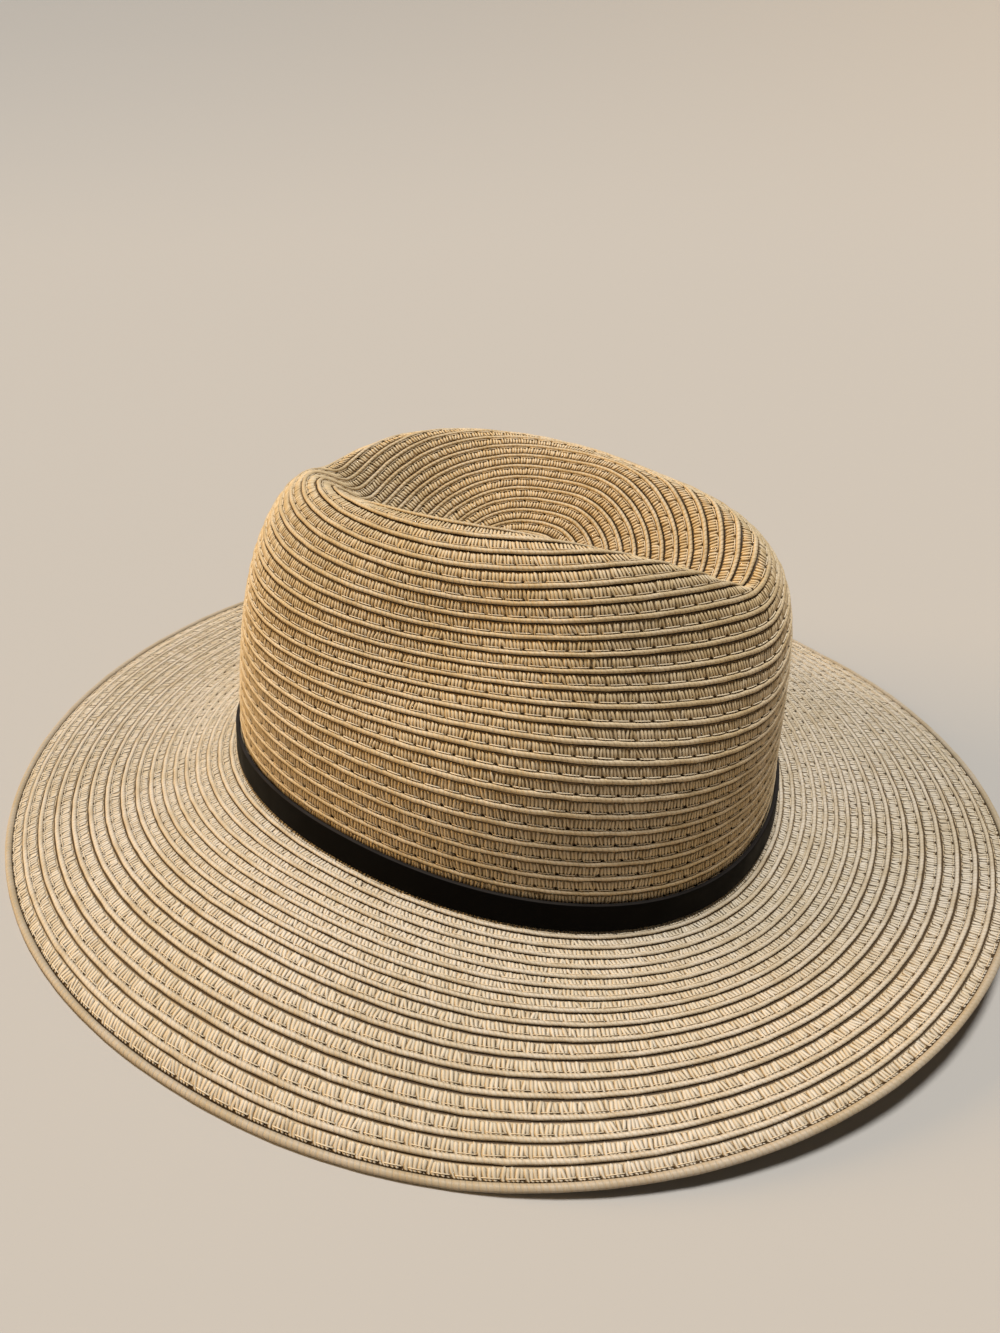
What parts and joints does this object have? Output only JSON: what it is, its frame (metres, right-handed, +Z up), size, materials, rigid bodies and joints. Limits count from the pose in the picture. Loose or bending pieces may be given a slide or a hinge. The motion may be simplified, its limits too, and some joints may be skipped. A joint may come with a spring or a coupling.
{
  "type": "wide-brim straw sun hat",
  "caption": "Wide-brim sun hat of sewn straw braid with a centre-dent crown, a narrow dark leather band and a rolled brim edge.",
  "frame": {"origin": "on the ground under the middle of the crown, which is the middle of the brim to within 2 mm", "axes": "+Z up, -Y towards the front of the hat, +X towards the wearer's left"},
  "size_m": [0.3341, 0.3603, 0.1199],
  "materials": {
    "straw_crown": "matt sewn straw braid, warm tan",
    "straw_brim": "matt sewn straw braid, light tan",
    "straw_edge": "smooth twisted straw cord",
    "leather": "smooth black-brown leather, semi-gloss, cut edges"
  },
  "bodies": {
    "root": {"crown": "straw_crown", "brim": "straw_brim", "brim_edge": "straw_edge", "leather_band": "leather"}
  },
  "joints": []
}
